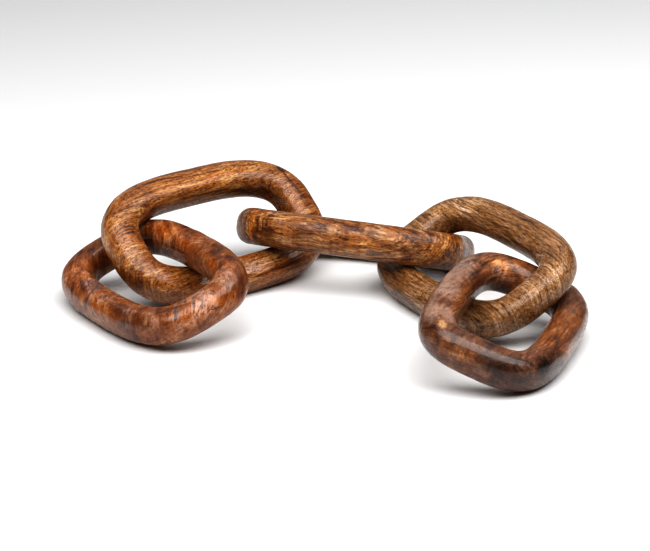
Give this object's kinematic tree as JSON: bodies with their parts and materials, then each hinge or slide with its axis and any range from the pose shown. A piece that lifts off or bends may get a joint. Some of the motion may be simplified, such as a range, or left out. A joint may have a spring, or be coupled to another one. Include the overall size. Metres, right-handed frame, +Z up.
{
  "type": "wooden chain",
  "caption": "Carved wooden chain of long round-cornered links, each one piece of wood passing through the next, lying loose in a curved pile on a flat surface.",
  "frame": {"origin": "centre of the bounding box in plan, on the flat surface that the chain lies on", "axes": "+X along the longest way of the pile, to the right seen from the front, +Y towards the back, +Z up"},
  "size_m": [0.3564, 0.3064, 0.0765],
  "materials": {
    "reddish_wood": "satin clear coat over reddish brown mottled wood",
    "golden_wood": "satin clear coat over golden orange rippled wood with a dark lower side",
    "honey_wood": "satin clear coat over honey brown wavy wood",
    "light_wood": "satin clear coat over light golden wood with short dark pores",
    "dark_wood": "satin clear coat over dark purplish brown wood"
  },
  "bodies": {
    "root": {"front_left_link": "reddish_wood", "back_left_link": "golden_wood", "middle_link": "honey_wood", "back_right_link": "light_wood", "front_right_link": "dark_wood"}
  },
  "joints": []
}
